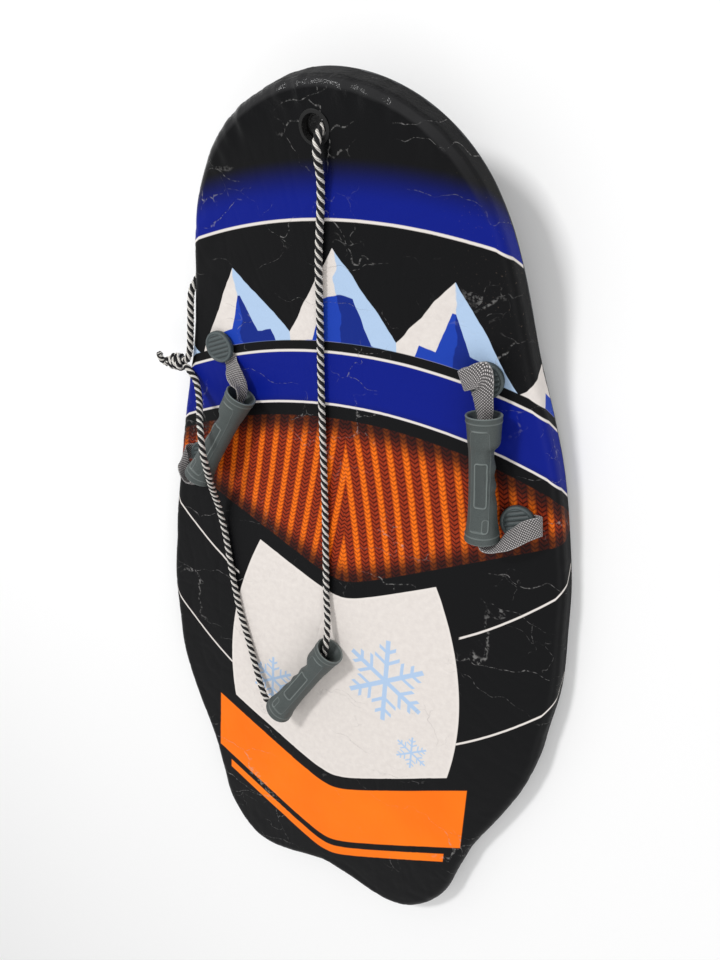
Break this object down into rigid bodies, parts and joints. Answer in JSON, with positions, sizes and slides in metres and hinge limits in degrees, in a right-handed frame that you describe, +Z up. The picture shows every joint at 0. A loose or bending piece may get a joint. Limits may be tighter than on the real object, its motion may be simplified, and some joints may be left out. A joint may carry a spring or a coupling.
{
  "type": "snow sled",
  "caption": "Soft foam snow sled with an upturned nose, a tow rope with a grip and two webbing strap handles held by ribbed round anchors.",
  "frame": {"origin": "middle of the board's footprint, on the surface that it lies on", "axes": "+Y towards the upturned nose, +Z up out of the deck, +X to the right as seen from the tail"},
  "size_m": [0.4896, 0.891, 0.132],
  "materials": {
    "deck_film": "satin printed film, softly wrinkled",
    "core_foam": "moulded bead foam",
    "slick_sheet": "smooth slick sheet",
    "cap_plastic": "moulded, ribbed",
    "base_plastic": "moulded",
    "ferrule_plastic": "moulded",
    "webbing": "plain-weave webbing",
    "grip_plastic": "moulded, fine speckle",
    "rope": "twisted black and white rope"
  },
  "bodies": {
    "board": {"deck_skin": "deck_film", "foam_core": "core_foam", "foam_nose_left": "core_foam", "foam_nose_right": "core_foam", "foam_nose_tip": "core_foam", "tow_hole_block": "core_foam", "bottom_sheet": "slick_sheet", "tow_hole_ferrule": "ferrule_plastic", "tow_hole_ferrule_base": "ferrule_plastic", "upper_left_anchor_cap": "cap_plastic", "upper_right_anchor_cap": "cap_plastic", "lower_left_anchor_cap": "cap_plastic", "lower_right_anchor_cap": "cap_plastic", "upper_left_anchor_base": "base_plastic", "upper_right_anchor_base": "base_plastic", "lower_left_anchor_base": "base_plastic", "lower_right_anchor_base": "base_plastic", "left_strap_upper_end": "webbing", "left_strap_lower_end": "webbing", "right_strap_upper_end": "webbing", "right_strap_lower_end": "webbing", "tow_rope_front": "rope", "tow_rope_side": "rope", "tow_rope_back": "rope", "tow_rope_knot": "rope"},
    "left_handle": {"left_strap_middle": "webbing"},
    "left_grip": {"left_grip": "grip_plastic"},
    "right_handle": {"right_strap_middle": "webbing"},
    "right_grip": {"right_grip": "grip_plastic"},
    "tow_grip": {"tow_grip": "grip_plastic"}
  },
  "joints": [
    {"name": "left_handle_lift", "type": "hinge", "parent": "board", "child": "left_handle", "pos_m": [-0.17985, 0.05142, 0.05485], "axis": [0.8498, -0.5235, -0.0613], "range_deg": [0, 5]},
    {"name": "right_handle_lift", "type": "hinge", "parent": "board", "child": "right_handle", "pos_m": [0.15845, 0.0526, 0.04834], "axis": [0.9987, 0.0512, 0.0065], "range_deg": [0, 10]},
    {"name": "left_grip_spin", "type": "hinge", "parent": "left_handle", "child": "left_grip", "pos_m": [-0.14775, 0.10321, 0.05761], "axis": [-0.5263, -0.8491, -0.0452], "continuous": true},
    {"name": "right_grip_spin", "type": "hinge", "parent": "right_handle", "child": "right_grip", "pos_m": [0.1553, 0.11303, 0.05605], "axis": [0.0516, -0.9906, -0.1264], "continuous": true},
    {"name": "tow_grip_spin", "type": "hinge", "parent": "board", "child": "tow_grip", "pos_m": [-0.03355, -0.17017, 0.0466], "axis": [-0.5449, -0.8385, 0], "continuous": true}
  ]
}
